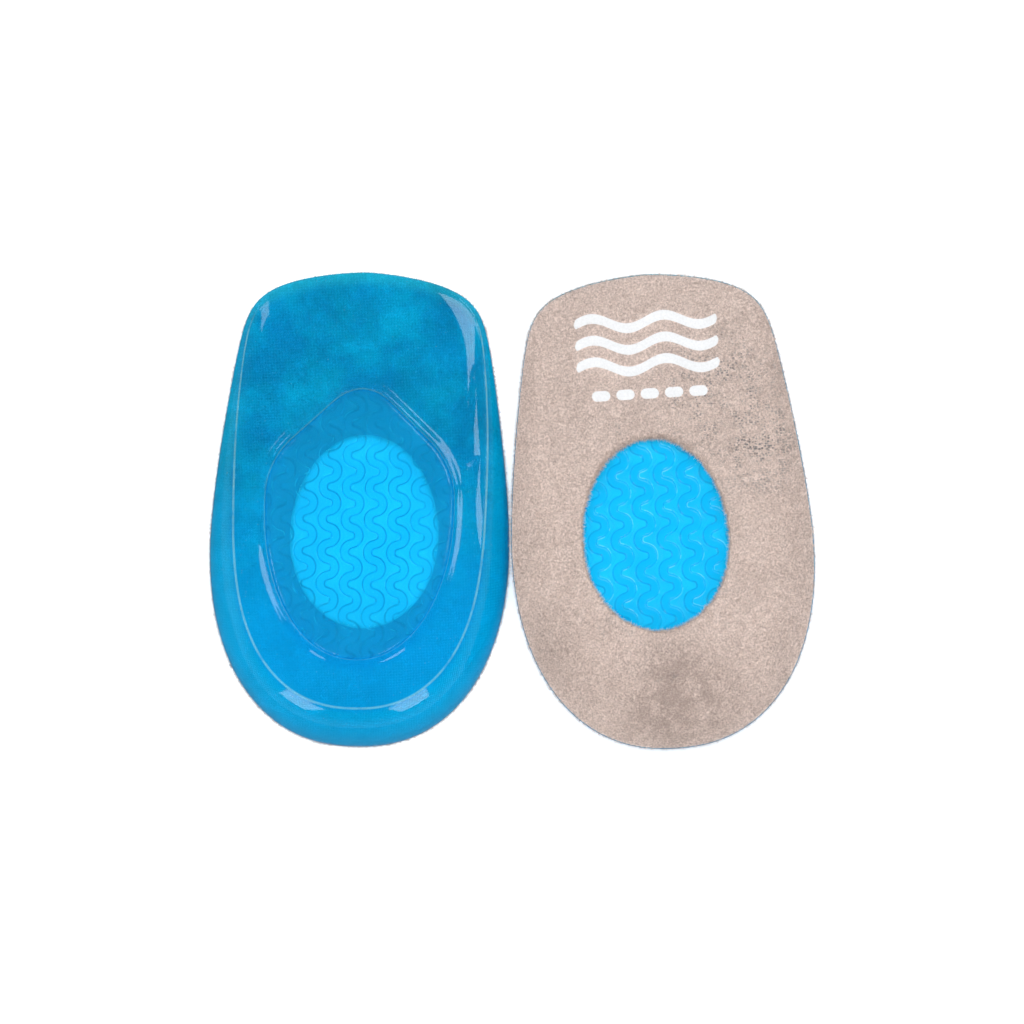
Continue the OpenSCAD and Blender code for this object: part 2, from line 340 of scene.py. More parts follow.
RIB_TOP, RIB_FOOT, RIB_RISE = 0.78, 1.14, 0.42
WAVE_FULL = 0.34
PAD_TOP_DEPTH = BOND_T + 0.02
RIB_MARGIN, PAD_ROUND = 1.1, 0.9
PAD_ROWS, FIRST_R = 116, 0.8
# What the pad's side and underside store in place of the distances on the ribbed face
NO_RIB, SKIN_MARK, UNCOVERED = 9.0, 8.0, -9.0


def across_ribs(x, y):
    """The signed distance of points from the centre line of the nearest wavy rib.

    The points are folded into one repeat of the pattern and compared in batches.
    """
    t = np.linspace(-math.pi, 3 * math.pi, 241)
    pace = WAVE_L / (2 * math.pi)
    line = np.stack([WAVE_A * np.sin(t), pace * t - WAVE_FULL * np.sin(2 * t)], -1)
    run = np.stack([WAVE_A * np.cos(t), pace - 2 * WAVE_FULL * np.cos(2 * t)], -1)
    side = np.stack([run[:, 1], -run[:, 0]], -1) / np.linalg.norm(run, axis=1)[:, None]
    up = np.mod(y - WAVE_Y, WAVE_L)
    folded = np.mod(x - WAVE_X, RIB_PITCH)
    best, found = np.full(x.shape, 1e9), np.zeros(x.shape)
    for shift in (-RIB_PITCH, 0.0, RIB_PITCH, 2 * RIB_PITCH):
        for i in range(0, len(x), 4000):
            part = slice(i, i + 4000)
            gap = np.stack([folded[part] - shift, up[part]], -1)[:, None] - line[None]
            near = (gap**2).sum(-1)
            pick = near.argmin(1)
            rows = np.arange(len(pick))
            better = near[rows, pick] < best[part]
            best[part] = np.where(better, near[rows, pick], best[part])
            signed = (gap[rows, pick] * side[pick]).sum(-1)
            found[part] = np.where(better, signed, found[part])
    return found


def pad_top(x, y):
    """Height of the pad's ribbed upper face, and the distance across its ribs."""
    across = across_ribs(x, y)
    rib = 1 - ease((np.abs(across) - RIB_TOP) / (RIB_FOOT - RIB_TOP))
    rib = rib * ease(-pad_distance(x, y) / RIB_MARGIN - 0.25)
    return floor_z(y) - PAD_TOP_DEPTH - RIB_RISE * (1 - rib), across


def heel_pad(side):
    """The pad: its ribbed upper face out to the shield outline, its side and its underside."""
    rows = [put(FIRST_R + (PAD - FIRST_R) * t, 0.0) for t in np.linspace(0, 1, PAD_ROWS)]
    hub = np.array([[0.0, WIDE_Y, 0.0]])
    upper = np.concatenate([hub] + rows)
    upper[:, 2], across = pad_top(upper[:, 0], upper[:, 1])
    edge_z = upper[-len(ANGLES):, 2]
    lowest = PAD_RECESS + PAD_ROUND
    under = [put(PAD, edge_z + (lowest - edge_z) * t) for t in (0.33, 0.67, 1.0)]
    for t in np.linspace(0, math.pi / 2, 8)[1:]:
        under.append(put(PAD - PAD_ROUND * (1 - math.cos(t)), lowest - PAD_ROUND * math.sin(t)))
    for t in np.linspace(1, 0, 8)[1:]:
        under.append(put(FIRST_R + (PAD - PAD_ROUND - FIRST_R) * t, PAD_RECESS))
    under_hub = np.array([[0.0, WIDE_Y, PAD_RECESS]])
    points = np.concatenate([upper] + under + [under_hub])
    n = len(ANGLES)
    k = np.arange(n)
    count = PAD_ROWS + len(under)
    faces = [(0, 1 + i, 1 + (i + 1) % n) for i in k]
    for row in range(count - 1):
        a, b = 1 + row * n + k, 1 + row * n + (k + 1) % n
        faces += np.stack([a, b, b + n, a + n], -1).tolist()
    last = 1 + (count - 1) * n
    faces += [(len(points) - 1, last + (i + 1) % n, last + i) for i in k]
    rest = len(points) - len(across)
    across = np.concatenate([across, np.full(rest, NO_RIB)])
    covered = np.concatenate([egg_distance(upper[:, 0], upper[:, 1]), np.full(rest, UNCOVERED)])
    name = f"{side}_heel_pad_moulding"
    return new_piece(name, side, points, faces, across=across, covered=covered)


# Cover, film and print ------------------------------------------------------------------

CUT_RNG = np.random.default_rng(11)
# How far the film keeps back from the window's edge and from its neighbours' faces
FILM_BACK, FILM_CLEAR = 0.25, 0.02


def ragged(size, spread):
    """A small uneven line round the stations, for a cut edge."""
    rough = CUT_RNG.normal(0, size, len(ANGLES))
    kernel = np.hanning(spread * 2 + 1)
    kernel /= np.sqrt((kernel**2).sum())
    wrapped = np.concatenate([rough[-spread:], rough, rough[:spread]])
    return np.convolve(wrapped, kernel, "valid")


def top_cover(side):
    """The cover, storing where its nap grows and where its two cut edges are."""
    window = EGG + ragged(0.09, 2) + ragged(0.05, 9)
    flat_steps, curve_steps = np.linspace(0, 1, 26), np.linspace(0, 1, 30)[1:]
    upper = [flat(t, window) for t in flat_steps] + [bowl(u) for u in curve_steps]
    lower = [flat(t, window, COVER_T) for t in flat_steps[::3]]
    lower += [bowl(u, COVER_T) for u in curve_steps[::2]]
    ring = [put(window + 0.06, lambda y: floor_z(y) - 0.06)] + upper[1:-1]
    ring += [bowl(1.0, 0.05, LIP_W + 0.05), bowl(1.0, 0.12)]
    ring += [bowl(1.0, 0.5), bowl(1.0, COVER_T)] + lower[::-1][1:]
    ring += [put(window + 0.02, lambda y: floor_z(y) - 0.5)]
    nap, cut = np.zeros((2, len(ring)))
    nap[: len(upper) + 2] = 1
    cut[[0, -1, len(upper), len(upper) + 1]] = 1
    name = f"{side}_microsuede_cover"
    return ring_piece(name, side, ring, nap=nap[None, :], cut_edge=cut[None, :])


def adhesive_film(side):
    """The thin bond under the cover, from just outside the window to the rim."""
    inner = EGG + FILM_BACK
    steps, curve = np.linspace(0, 1, 10), np.linspace(0, 1, 16)[1:]
    top, low = COVER_T + FILM_CLEAR, BOND_T - FILM_CLEAR
    upper = [flat(t, inner, top) for t in steps] + [bowl(u, top) for u in curve]
    lower = [flat(t, inner, low) for t in steps] + [bowl(u, low) for u in curve]
    return ring_piece(f"{side}_glue_layer", side, upper + lower[::-1])


MARK_X, MARK_Y, MARK_W, MARK_PITCH = -0.6, 92.6, 33.0, 5.0
MARK_STROKE, MARK_WAVE = 2.3, 1.3
DASH_W, DASH_H, DASH_Y, DASH_COUNT, DASH_PITCH = 4.2, 2.4, 81.0, 5, 5.6
PRINT_T, PRINT_SUNK, STRIPE_END = 0.05, 0.05, 0.7


def printed_mark(side):
    """Three wavy stripes over a row of rounded dashes, as one thin film on the cover."""
    points, faces = [], []

    def film(outline_rows):
        """A closed flat strip through pairs of edge points."""
        start = len(points)
        for a, b in outline_rows:
            for lift in (PRINT_T, -PRINT_SUNK):
                for p in (a, b):
                    points.append((p[0], p[1], floor_z(p[1]) + lift))
        for i in range(len(outline_rows) - 1):
            s, t = start + 4 * i, start + 4 * i + 4
            faces.extend([(s, s + 1, t + 1, t), (s + 2, t + 2, t + 3, s + 3)])
            faces.extend([(s, t, t + 2, s + 2), (s + 1, s + 3, t + 3, t + 1)])
        end = start + 4 * (len(outline_rows) - 1)
        faces.extend([(start, start + 2, start + 3, start + 1), (end, end + 1, end + 3, end + 2)])

    for i in (-1, 0, 1):
        rows = []
        for t in np.linspace(-0.5, 0.5, 97):
            x = MARK_W * t
            y = MARK_WAVE * math.sin(4 * math.pi * t)
            end = (MARK_W / 2 - abs(x)) / STRIPE_END
            half = MARK_STROKE / 2 * math.sqrt(min(1, max(0.02, end * (2 - min(end, 1)))))
            x0, y0 = MARK_X + x, MARK_Y + i * MARK_PITCH + y
            rows.append(((x0, y0 - half), (x0, y0 + half)))
        film(rows)
    for i in range(DASH_COUNT):
        middle = MARK_X + (i - (DASH_COUNT - 1) / 2) * DASH_PITCH
        rows = []
        for t in np.linspace(-1, 1, 25):
            x = DASH_W / 2 * math.sin(t * math.pi / 2)
            inner = max(0, abs(x) - (DASH_W - DASH_H) / 2)
            half = math.sqrt(max(0.01, (DASH_H / 2) ** 2 - inner**2))
            rows.append(((middle + x, DASH_Y - half), (middle + x, DASH_Y + half)))
        film(rows)
    return new_piece(f"{side}_wave_print", side, np.array(points), faces, smooth=False)


# Materials --------------------------------------------------------------------------------


def node(tree, kind, **settings):
    """A shader or geometry node, with its sockets set by name and the rest as properties."""
    made = tree.nodes.new(kind)
    for key, value in settings.items():
        if hasattr(made, key):
            setattr(made, key, value)
        else:
            made.inputs[key.replace("_", " ")].default_value = value
    return made


def material(name):
    made = bpy.data.materials.new(name)
    made.use_nodes = True
    made.node_tree.nodes.clear()
    return made, made.node_tree


def group_of(name, wants, gives):
    """An empty shader node group with named inputs and outputs."""
    tree = bpy.data.node_groups.new(name, "ShaderNodeTree")
    for label, kind, value in wants:
        socket = tree.interface.new_socket(label, in_out="INPUT", socket_type=kind)
        if value is not None:
            socket.default_value = value
    for label, kind in gives:
        tree.interface.new_socket(label, in_out="OUTPUT", socket_type=kind)
    return tree, tree.nodes.new("NodeGroupInput"), tree.nodes.new("NodeGroupOutput")


def use_group(tree, group, **values):
    made = tree.nodes.new("ShaderNodeGroup")
    made.node_tree = group
    for key, value in values.items():
        made.inputs[key.replace("_", " ")].default_value = value
    return made


def maths(tree, operation, a, b=None, clamp=False):
    made = tree.nodes.new("ShaderNodeMath")
    made.operation, made.use_clamp = operation, clamp
    for slot, value in zip(made.inputs, (a, b)):
        if value is None:
            continue
        if isinstance(value, (int, float)):
            slot.default_value = value
        else:
            tree.links.new(value, slot)
    return made.outputs[0]


def mix_colour(tree, share, a, b):
    made = tree.nodes.new("ShaderNodeMix")
    made.data_type = "RGBA"
    for slot, value in ((made.inputs[0], share), (made.inputs[6], a), (made.inputs[7], b)):
        if isinstance(value, (int, float)):
            slot.default_value = value
        elif isinstance(value, (tuple, list)):
            slot.default_value = tuple(value) + (1.0,) * (4 - len(value))
        else:
            tree.links.new(value, slot)
    return made.outputs[2]


def noise(tree, where, scale, detail=3.0, rough=0.55):
    made = node(tree, "ShaderNodeTexNoise", Scale=scale, Detail=detail, Roughness=rough)
    tree.links.new(where, made.inputs["Vector"])
    return made.outputs["Fac"]


def window_of(tree, value, low, high):
    """Value rescaled so that low gives 0 and high gives 1, clamped."""
    made = node(tree, "ShaderNodeMapRange", interpolation_type="SMOOTHSTEP")
    made.inputs["From Min"].default_value = low
    made.inputs["From Max"].default_value = high
    tree.links.new(value, made.inputs["Value"])
    return made.outputs["Result"]


def drawn_place(tree):
    return node(tree, "ShaderNodeAttribute", attribute_name="drawn").outputs["Vector"]


def near_zero(tree, fact, half, soft):
    """One where a stored distance is within half of zero, fading out over soft."""
    value = node(tree, "ShaderNodeAttribute", attribute_name=fact).outputs["Fac"]
    return window_of(tree, maths(tree, "ABSOLUTE", value), half + soft, half)


def spot(tree, place, x, y, radius):
    """One at a place in the drawing, fading to zero at the radius, in centimetres."""
    far = node(tree, "ShaderNodeVectorMath", operation="DISTANCE")
    tree.links.new(place, far.inputs[0])
    far.inputs[1].default_value = (x, y, 0.5)
    return window_of(tree, far.outputs["Value"], radius, 0.2 * radius)


def gel_effect():
    """Cloudy tint and faint waviness of cast gel."""
    tree, given, result = group_of(
        "Cast gel",
        [("Place", "NodeSocketVector", None), ("Deep", "NodeSocketColor", (0, 0.5, 0.8, 1)),
         ("Pale", "NodeSocketColor", (0.1, 0.6, 0.9, 1)), ("Wave size", "NodeSocketFloat", 1.2)],
        [("Colour", "NodeSocketColor"), ("Height", "NodeSocketFloat"),
         ("Roughness", "NodeSocketFloat")],
    )
    place = given.outputs["Place"]
    clouds = noise(tree, place, 0.7, 4.0, 0.6)
    share = window_of(tree, clouds, 0.35, 0.7)
    colour = mix_colour(tree, share, given.outputs["Deep"], given.outputs["Pale"])
    waves = tree.nodes.new("ShaderNodeTexNoise")
    waves.inputs["Detail"].default_value = 1.5
    tree.links.new(place, waves.inputs["Vector"])
    tree.links.new(given.outputs["Wave size"], waves.inputs["Scale"])
    fine = noise(tree, place, 9.0, 3.0)
    height = maths(tree, "ADD", waves.outputs["Fac"], maths(tree, "MULTIPLY", fine, 0.06))
    smear = maths(tree, "ADD", maths(tree, "MULTIPLY", fine, 0.05), 0.005)
    for label, source in (("Colour", colour), ("Height", height), ("Roughness", smear)):
        tree.links.new(source, result.inputs[label])
    return tree


def suede_effect():
    """Napped fabric: fine speckle, soft patches, darker mottled patches at the heel and worn,
    darker dots.
    """
    tree, given, result = group_of(
        "Microsuede nap",
        [("Place", "NodeSocketVector", None), ("Light", "NodeSocketColor", (1.0, 0.835, 0.755, 1)),
         ("Dark", "NodeSocketColor", (0.46, 0.36, 0.32, 1)),
         ("Worn", "NodeSocketColor", (0.25, 0.235, 0.23, 1)),
         ("Wear", "NodeSocketFloat", 1.0)],
        [("Colour", "NodeSocketColor"), ("Height", "NodeSocketFloat")],
    )
    place = given.outputs["Place"]
    speckle = window_of(tree, noise(tree, place, 22.0, 3.0, 0.7), 0.3, 0.7)
    patches = window_of(tree, noise(tree, place, 1.1, 5.0, 0.65), 0.3, 0.72)
    # Darker, mottled patches: a large one at the heel and a weaker one to its side.
    heel = maths(tree, "MAXIMUM", spot(tree, place, 0.1, 1.0, 1.9),
                 maths(tree, "MULTIPLY", spot(tree, place, -2.7, 2.4, 1.3), 0.4))
    uneven = window_of(tree, noise(tree, place, 2.2, 4.0, 0.6), 0.3, 0.62)
    heel_darkening = maths(tree, "MULTIPLY", heel, uneven)
    soft = maths(tree, "MULTIPLY", patches, 0.22)
    shade = maths(tree, "ADD", maths(tree, "MULTIPLY", speckle, 0.78), soft)
    shade = maths(tree, "SUBTRACT", shade, maths(tree, "MULTIPLY", heel_darkening, 0.65), clamp=True)
    colour = mix_colour(tree, shade, given.outputs["Dark"], given.outputs["Light"])
    rows = node(tree, "ShaderNodeMapping")
    rows.inputs["Scale"].default_value = (1.2, 1.5, 0.2)
    tree.links.new(place, rows.inputs["Vector"])
    cells = node(tree, "ShaderNodeTexVoronoi", Scale=12.0, Randomness=0.65)
    tree.links.new(rows.outputs[0], cells.inputs["Vector"])
    dots = window_of(tree, cells.outputs["Distance"], 0.52, 0.36)
    fore, side = spot(tree, place, 1.6, 8.0, 2.1), spot(tree, place, 2.3, 6.8, 1.6)
    rubbed = maths(tree, "MAXIMUM", fore, side)
    where = window_of(tree, noise(tree, place, 0.9, 4.0, 0.6), 0.6, 0.72)
    where = maths(tree, "MAXIMUM", maths(tree, "MULTIPLY", where, 0.6), rubbed)
    broken = window_of(tree, noise(tree, place, 2.3, 3.0, 0.6), 0.38, 0.6)
    where = maths(tree, "MULTIPLY", where, broken)
    worn = maths(tree, "MULTIPLY", dots, where)
    worn = maths(tree, "MULTIPLY", worn, given.outputs["Wear"], clamp=True)
    colour = mix_colour(tree, worn, colour, given.outputs["Worn"])
    height = maths(tree, "SUBTRACT", speckle, maths(tree, "MULTIPLY", worn, 0.5))
    for label, source in (("Colour", colour), ("Height", height)):
        tree.links.new(source, result.inputs[label])
    return tree


CAST_GEL = gel_effect()
SUEDE = suede_effect()


def surface(tree, normal=None, **settings):
    """A Principled shader and the output it feeds."""
    shader = node(tree, "ShaderNodeBsdfPrincipled", **settings)
    output = tree.nodes.new("ShaderNodeOutputMaterial")
    tree.links.new(shader.outputs[0], output.inputs["Surface"])
    if normal is not None:
        tree.links.new(normal, shader.inputs["Normal"])
    return shader, output


def bumped(tree, height, strength, distance):
    made = node(tree, "ShaderNodeBump", Strength=strength, Distance=distance)
    tree.links.new(height, made.inputs["Height"])
    return made.outputs["Normal"]


def let_lamps_through(tree, shader, output, tint):
    """Lamps shine through the gel, tinted, though it bends what the eye sees."""
    clear = node(tree, "ShaderNodeBsdfTransparent", Color=tint + (1.0,))
    path = tree.nodes.new("ShaderNodeLightPath")
    either = tree.nodes.new("ShaderNodeMixShader")
    tree.links.new(path.outputs["Is Shadow Ray"], either.inputs[0])
    tree.links.new(shader.outputs[0], either.inputs[1])
    tree.links.new(clear.outputs[0], either.inputs[2])
    tree.links.new(either.outputs[0], output.inputs["Surface"])


def cup_gel():
    """Deeper teal at the front, purer blue at the heel and pale at the toe edge, with a painted
    highlight along the crease and round the pocket's lip.
    """
    made, tree = material("Clear blue cup gel")
    place = drawn_place(tree)
    effect = use_group(
        tree, CAST_GEL, Deep=(0.001, 0.33, 0.8, 1), Pale=(0.0015, 0.54, 1.0, 1), Wave_size=0.9
    )
    tree.links.new(place, effect.inputs["Place"])
    part = tree.nodes.new("ShaderNodeSeparateXYZ")
    tree.links.new(place, part.inputs[0])
    heel = window_of(tree, part.outputs["Y"], 7.0, 2.0)
    heel = maths(tree, "MULTIPLY", heel, 0.85)
    colour = mix_colour(tree, heel, effect.outputs["Colour"], (0.0006, 0.43, 0.97))
    inset = node(tree, "ShaderNodeAttribute", attribute_name="inset").outputs["Fac"]
    toe = window_of(tree, part.outputs["Y"], 9.2, 10.2)
    toe = maths(tree, "MULTIPLY", toe, window_of(tree, inset, 4.0, 0.5))
    colour = mix_colour(tree, maths(tree, "MULTIPLY", toe, 0.6), colour, (0.03, 0.75, 1.0))
    beyond = node(tree, "ShaderNodeAttribute", attribute_name="crease").outputs["Fac"]
    wall = maths(tree, "MULTIPLY", window_of(tree, beyond, 0.3, 1.5), 0.5)
    colour = mix_colour(tree, wall, colour, (0.0008, 0.6, 1.0))
    # Painted highlight: a pale broken line along the underside's crease and round the pad pocket's
    # lip. Tiny pale specks in the gel share its colour.
    broken = window_of(tree, noise(tree, place, 3.0, 2.0), 0.2, 0.5)
    crease = near_zero(tree, "crease", 0.12, 0.2)
    crease = maths(tree, "MULTIPLY", crease, window_of(tree, part.outputs["Y"], 10.0, 9.2))
    lip = maths(tree, "MAXIMUM", near_zero(tree, "beyond_pocket", 0.05, 0.12), crease)
    line = maths(tree, "MULTIPLY", maths(tree, "MULTIPLY", lip, broken), 0.9)
    specks = window_of(tree, noise(tree, place, 24.0, 1.0, 0.5), 0.755, 0.79)
    line = maths(tree, "MAXIMUM", line, maths(tree, "MULTIPLY", specks, 0.8))
    colour = mix_colour(tree, line, colour, (0.5, 0.86, 1.0))
    normal = bumped(tree, effect.outputs["Height"], 0.2, 0.0003)
    shader, output = surface(tree, normal, Transmission_Weight=0.76, IOR=1.42)
    tree.links.new(colour, shader.inputs["Base Color"])
    tree.links.new(effect.outputs["Roughness"], shader.inputs["Roughness"])
    let_lamps_through(tree, shader, output, (0.05, 0.74, 1.0))
    return made


def pad_gel(name, clearness):
    """Brighter gel with deeper ribs. It is painted darker under the cover, as painted shade, and
    each rib has a painted dark line on one side and painted glints on the other.
    """
    made, tree = material(name)
    place = drawn_place(tree)
    effect = use_group(
        tree, CAST_GEL, Deep=(0.011, 0.51, 0.76, 1), Pale=(0.016, 0.58, 0.83, 1), Wave_size=1.4
    )
    tree.links.new(place, effect.inputs["Place"])
    across = node(tree, "ShaderNodeAttribute", attribute_name="across").outputs["Fac"]
    rib = window_of(tree, maths(tree, "ABSOLUTE", across), RIB_FOOT, RIB_TOP + 0.1)
    deeper = maths(tree, "MULTIPLY", rib, 0.5)
    colour = mix_colour(tree, deeper, effect.outputs["Colour"], (0.001, 0.42, 0.68))
    # Painted shade: a dark line along one side of each rib.
    edge = maths(tree, "ABSOLUTE", maths(tree, "ADD", across, RIB_TOP + 0.1))
    line = maths(tree, "MULTIPLY", window_of(tree, edge, 0.28, 0.08), 0.4)
    colour = mix_colour(tree, line, colour, (0.001, 0.28, 0.5))
    # Painted shade: the pad is darker where the cover lies over it.
    covered = node(tree, "ShaderNodeAttribute", attribute_name="covered").outputs["Fac"]
    covered = window_of(tree, covered, -0.1, 0.1)
    colour = mix_colour(tree, maths(tree, "MULTIPLY", covered, 0.8), colour, (0.0006, 0.29, 0.55))
    # Painted highlight: pale, broken glints along the other side of each rib.
    foot = maths(tree, "ABSOLUTE", maths(tree, "SUBTRACT", across, RIB_FOOT))
    glint = window_of(tree, foot, 0.2, 0.05)
    glint = maths(tree, "MULTIPLY", glint, window_of(tree, noise(tree, place, 4.5, 2.0), 0.5, 0.6))
    glint = maths(tree, "MULTIPLY", glint, 0.4)
    colour = mix_colour(tree, glint, colour, (0.3, 0.85, 1.0))
    height = maths(tree, "ADD", maths(tree, "MULTIPLY", effect.outputs["Height"], 0.2), rib)
    normal = bumped(tree, height, 0.3, 0.0003)
    shader, output = surface(tree, normal, Transmission_Weight=clearness, IOR=1.42)
    tree.links.new(colour, shader.inputs["Base Color"])
    tree.links.new(effect.outputs["Roughness"], shader.inputs["Roughness"])
    let_lamps_through(tree, shader, output, (0.06, 0.76, 0.98))
    return made


def suede_face():
    made, tree = material("Taupe microsuede")
    effect = use_group(tree, SUEDE)
    tree.links.new(drawn_place(tree), effect.inputs["Place"])
    normal = bumped(tree, effect.outputs["Height"], 0.6, 0.00025)
    shader, _ = surface(tree, normal, Roughness=0.95, Sheen_Weight=0.25, Sheen_Roughness=0.5)
    shader.inputs["Specular IOR Level"].default_value = 0.15
    tree.links.new(effect.outputs["Colour"], shader.inputs["Base Color"])
    return made


def suede_back():
    """The cover's knitted back, seen through the gel."""
    made, tree = material("Knitted back of the cover")
    place = drawn_place(tree)
    effect = use_group(
        tree, SUEDE, Light=(0.74, 0.64, 0.56, 1), Dark=(0.46, 0.38, 0.34, 1), Wear=0.6
    )
    tree.links.new(place, effect.inputs["Place"])
    threads = []
    for turn in (0.0, math.pi / 2):
        mapping = node(tree, "ShaderNodeMapping")
        mapping.inputs["Rotation"].default_value = (0, 0, turn)
        tree.links.new(place, mapping.inputs["Vector"])
        wave = node(tree, "ShaderNodeTexWave", Scale=9.0, Distortion=0.6, Detail=1.0)
        tree.links.new(mapping.outputs[0], wave.inputs["Vector"])
        threads.append(wave.outputs["Fac"])
    weave = maths(tree, "MULTIPLY", threads[0], threads[1])
    stains = window_of(tree, noise(tree, place, 0.8, 6.0, 0.7), 0.38, 0.66)
    raised = maths(tree, "MULTIPLY", weave, 0.4)
    colour = mix_colour(tree, raised, effect.outputs["Colour"], (0.36, 0.3, 0.24))
    colour = mix_colour(tree, maths(tree, "MULTIPLY", stains, 0.6), colour, (0.34, 0.27, 0.2))
    part = tree.nodes.new("ShaderNodeSeparateXYZ")
    tree.links.new(place, part.inputs[0])
    # The back is painted paler towards the heel.
    paler_at_heel = maths(tree, "MULTIPLY", window_of(tree, part.outputs["Y"], 7.0, 2.0), 0.4)
    colour = mix_colour(tree, paler_at_heel, colour, (0.8, 0.84, 0.9))
    normal = bumped(tree, weave, 0.4, 0.0002)
    shader, _ = surface(tree, normal, Roughness=0.9)
    tree.links.new(colour, shader.inputs["Base Color"])
    return made


def nap_fibre():
    made, tree = material("Microsuede fibre")
    shade = node(tree, "ShaderNodeAttribute", attribute_name="shade").outputs["Fac"]
    effect = use_group(tree, SUEDE, Light=(0.96, 0.81, 0.73, 1), Dark=(0.55, 0.44, 0.38, 1))
    tree.links.new(drawn_place(tree), effect.inputs["Place"])
    colour = mix_colour(tree, shade, (0.3, 0.22, 0.19), (1.0, 0.88, 0.8))
    colour = mix_colour(tree, 0.45, colour, effect.outputs["Colour"])
    shader, _ = surface(tree, None, Roughness=0.9, Sheen_Weight=0.2)
    shader.inputs["Specular IOR Level"].default_value = 0.2
    tree.links.new(colour, shader.inputs["Base Color"])
    return made


def glue():
    made, tree = material("Clear glue with fine bubbles")
    place = drawn_place(tree)
    veil = window_of(tree, noise(tree, place, 2.5, 5.0, 0.7), 0.35, 0.75)
    specks = window_of(tree, noise(tree, place, 40.0, 2.0, 0.5), 0.66, 0.72)
    bubbles = maths(tree, "MULTIPLY", specks, 0.25)
    share = maths(tree, "ADD", maths(tree, "MULTIPLY", veil, 0.1), bubbles)
    shader = node(tree, "ShaderNodeBsdfPrincipled", Roughness=0.35, IOR=1.42)
    colour = mix_colour(tree, veil, (0.75, 0.8, 0.82), (0.88, 0.92, 0.94))
    tree.links.new(colour, shader.inputs["Base Color"])
    clear = node(tree, "ShaderNodeBsdfTransparent")
    either = tree.nodes.new("ShaderNodeMixShader")
    output = tree.nodes.new("ShaderNodeOutputMaterial")
    tree.links.new(share, either.inputs[0])
    tree.links.new(clear.outputs[0], either.inputs[1])
    tree.links.new(shader.outputs[0], either.inputs[2])
    tree.links.new(either.outputs[0], output.inputs["Surface"])
    return made


def white_print():
    made, tree = material("White rubbery print")
    effect = use_group(
        tree, SUEDE, Light=(0.97, 0.98, 0.99, 1), Dark=(0.86, 0.87, 0.88, 1), Wear=0.0
    )
    tree.links.new(drawn_place(tree), effect.inputs["Place"])
    normal = bumped(tree, effect.outputs["Height"], 0.25, 0.0001)
    shader, _ = surface(tree, normal, Roughness=0.6)
    tree.links.new(effect.outputs["Colour"], shader.inputs["Base Color"])
    return made


def pale_floor():
    """A white light table that is dim in mirror reflections but bright through clear gel.

    A ray that passes through gel counts as glossy too, so those rays are taken off.
    """
    made, tree = material("Pale light table")
    where = node(tree, "ShaderNodeTexCoord").outputs["Object"]
    tone = window_of(tree, noise(tree, where, 3.0, 2.0), 0.2, 0.8)
    shader, output = surface(tree, None, Roughness=0.7, Emission_Strength=0.6)
    shader.inputs["Emission Color"].default_value = (1, 1, 1, 1)
    colour = mix_colour(tree, tone, (0.9, 0.9, 0.9), (0.93, 0.93, 0.93))
    tree.links.new(colour, shader.inputs["Base Color"])
    dim = node(tree, "ShaderNodeBsdfDiffuse", Color=(0.1, 0.11, 0.12, 1))
    path, either = tree.nodes.new("ShaderNodeLightPath"), tree.nodes.new("ShaderNodeMixShader")
    glossy, passing = path.outputs["Is Glossy Ray"], path.outputs["Is Transmission Ray"]
    mirrored = maths(tree, "SUBTRACT", glossy, passing, clamp=True)
    tree.links.new(mirrored, either.inputs[0])
    tree.links.new(shader.outputs[0], either.inputs[1])
    tree.links.new(dim.outputs[0], either.inputs[2])
    tree.links.new(either.outputs[0], output.inputs["Surface"])
    return made


RIBBED_CLEARNESS, SKIN_CLEARNESS = 0.5, 0.75
FINISH = {
    "gel_cup": cup_gel(), "heel_pad": pad_gel("Soft blue pad gel, ribbed face", RIBBED_CLEARNESS),
    "adhesive_film": glue(), "top_cover": suede_face(), "printed_mark": white_print(),
}
KNIT, FIBRE = suede_back(), nap_fibre()
PAD_SKIN = pad_gel("Soft blue pad gel, smooth skin", SKIN_CLEARNESS)


# Nap -------------------------------------------------------------------------------------------

PRINT_CLEARANCE, NAPPED_FROM, FIBRE_SIZES = 0.0003, 0.99, (0.5, 1.3)
FIBRE_R, FIBRE_SEED = 0.00006, 3


